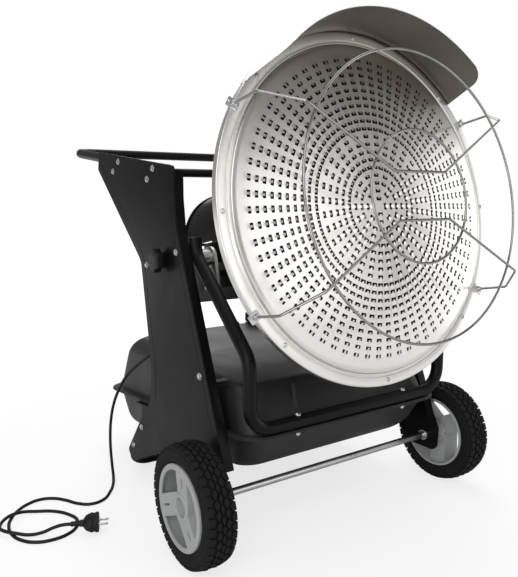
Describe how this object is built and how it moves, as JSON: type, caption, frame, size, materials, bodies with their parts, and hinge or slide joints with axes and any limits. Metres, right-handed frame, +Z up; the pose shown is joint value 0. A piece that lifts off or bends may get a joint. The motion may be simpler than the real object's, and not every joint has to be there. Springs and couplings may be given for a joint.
{
  "type": "infrared oil heater",
  "caption": "Wheeled oil-fired infrared heater: tilting stainless dish with visor and wire guard, burner behind it, black side panels, fuel tank and handle.",
  "frame": {"origin": "middle of the floor area under the heater, on the ground", "axes": "+Z up, the dish faces -Y, the handle is at +Y, +X to the right as seen from the front"},
  "size_m": [1.0323, 1.1198, 1.047],
  "materials": {
    "left_panel": "satin powder coat",
    "right_panel": "satin powder coat",
    "handle_tube": "satin powder coat",
    "rear_brace": "satin powder coat",
    "arm_rails": "satin powder coat",
    "front_tube": "satin powder coat",
    "foot_tube": "satin powder coat",
    "left_pivot_channel": "satin powder coat",
    "right_pivot_channel": "satin powder coat",
    "panel_bolts": "zinc plated",
    "panel_nuts": "zinc plated",
    "tank_straps": "satin powder coat",
    "tank_bolts": "zinc plated",
    "axle": "zinc plated",
    "axle_collars": "zinc plated",
    "axle_clips": "zinc plated",
    "tank_bottom": "fine grained",
    "tank_top": "fine grained",
    "filler_neck": "fine grained",
    "fuel_gauge": "smooth",
    "hose_fitting": "zinc plated",
    "suction_hose": "smooth",
    "lead_clamp": "smooth",
    "mains_lead": "smooth",
    "plug": "smooth",
    "inner_lead": "smooth",
    "rear_pan": "spun stainless",
    "dish_flange": "spun stainless",
    "emitter": "perforated stainless",
    "dish_screws": "zinc plated",
    "visor": "brushed stainless",
    "visor_rivets": "bright",
    "guard": "bright wire",
    "guard_clips": "zinc plated",
    "chamber": "stainless",
    "hood": "satin powder coat",
    "hood_grille": "satin powder coat",
    "burner_tray": "satin powder coat",
    "chamber_saddles": "satin powder coat",
    "pivot_lugs": "zinc plated",
    "pivot_studs": "zinc plated",
    "fan_housing": "satin powder coat",
    "motor": "cast",
    "blast_tube": "stainless",
    "nozzle": "machined",
    "electrodes": "glazed ceramic",
    "ignition_box": "smooth",
    "fuel_pump": "cast",
    "fuel_line": "bright",
    "control_box": "satin powder coat",
    "fan_wheel": "sheet metal",
    "power_switch": "smooth",
    "thermostat_dial": "smooth",
    "left_knob": "fine grained",
    "right_knob": "fine grained",
    "fuel_cap": "fine grained",
    "left_rim": "fine grained",
    "right_rim": "fine grained",
    "left_tyre": "rubber",
    "right_tyre": "rubber"
  },
  "bodies": {
    "frame": {"left_panel": "left_panel", "right_panel": "right_panel", "handle_tube": "handle_tube", "rear_brace": "rear_brace", "arm_rails": "arm_rails", "front_tube": "front_tube", "foot_tube": "foot_tube", "left_pivot_channel": "left_pivot_channel", "right_pivot_channel": "right_pivot_channel", "panel_bolts": "panel_bolts", "panel_nuts": "panel_nuts", "tank_straps": "tank_straps", "tank_bolts": "tank_bolts", "axle": "axle", "axle_collars": "axle_collars", "axle_clips": "axle_clips", "tank_bottom": "tank_bottom", "tank_top": "tank_top", "filler_neck": "filler_neck", "fuel_gauge": "fuel_gauge", "hose_fitting": "hose_fitting", "suction_hose": "suction_hose", "lead_clamp": "lead_clamp", "mains_lead": "mains_lead", "plug": "plug", "inner_lead": "inner_lead"},
    "burner_head": {"rear_pan": "rear_pan", "dish_flange": "dish_flange", "emitter": "emitter", "dish_screws": "dish_screws", "visor": "visor", "visor_rivets": "visor_rivets", "guard": "guard", "guard_clips": "guard_clips", "chamber": "chamber", "hood": "hood", "hood_grille": "hood_grille", "burner_tray": "burner_tray", "chamber_saddles": "chamber_saddles", "pivot_lugs": "pivot_lugs", "pivot_studs": "pivot_studs", "fan_housing": "fan_housing", "motor": "motor", "blast_tube": "blast_tube", "nozzle": "nozzle", "electrodes": "electrodes", "ignition_box": "ignition_box", "fuel_pump": "fuel_pump", "fuel_line": "fuel_line", "control_box": "control_box"},
    "left_wheel": {"left_rim": "left_rim", "left_tyre": "left_tyre"},
    "right_wheel": {"right_rim": "right_rim", "right_tyre": "right_tyre"},
    "left_knob_body": {"left_knob": "left_knob"},
    "right_knob_body": {"right_knob": "right_knob"},
    "rotor": {"fan_wheel": "fan_wheel"},
    "cap_body": {"fuel_cap": "fuel_cap"},
    "switch_body": {"power_switch": "power_switch"},
    "dial_body": {"thermostat_dial": "thermostat_dial"}
  },
  "joints": [
    {"name": "head_tilt", "type": "hinge", "parent": "frame", "child": "burner_head", "pos_m": [0, -0.05761, 0.568], "axis": [-1, 0, 0], "range_deg": [-10, 12]},
    {"name": "left_wheel_spin", "type": "hinge", "parent": "frame", "child": "left_wheel", "pos_m": [-0.354, -0.28261, 0.12], "axis": [1, 0, 0], "continuous": true},
    {"name": "right_wheel_spin", "type": "hinge", "parent": "frame", "child": "right_wheel", "pos_m": [0.354, -0.28261, 0.12], "axis": [1, 0, 0], "continuous": true},
    {"name": "left_knob_turn", "type": "hinge", "parent": "burner_head", "child": "left_knob_body", "pos_m": [-0.315, -0.05761, 0.568], "axis": [-1, 0, 0], "continuous": true},
    {"name": "right_knob_turn", "type": "hinge", "parent": "burner_head", "child": "right_knob_body", "pos_m": [0.315, -0.05761, 0.568], "axis": [1, 0, 0], "continuous": true},
    {"name": "fan_spin", "type": "hinge", "parent": "burner_head", "child": "rotor", "pos_m": [0, 0.04717, 0.6001], "axis": [0, 0.9826, -0.1857], "continuous": true},
    {"name": "fuel_cap_turn", "type": "hinge", "parent": "frame", "child": "cap_body", "pos_m": [0.15, 0.24739, 0.345], "axis": [0, 0, 1], "continuous": true},
    {"name": "switch_rock", "type": "hinge", "parent": "burner_head", "child": "switch_body", "pos_m": [-0.06, 0.14296, 0.48227], "axis": [-1, 0, 0], "range_deg": [0, 20]},
    {"name": "thermostat_turn", "type": "hinge", "parent": "burner_head", "child": "dial_body", "pos_m": [0.052, 0.14689, 0.48153], "axis": [0, 0.9826, -0.1857], "range_deg": [0, 270]}
  ]
}
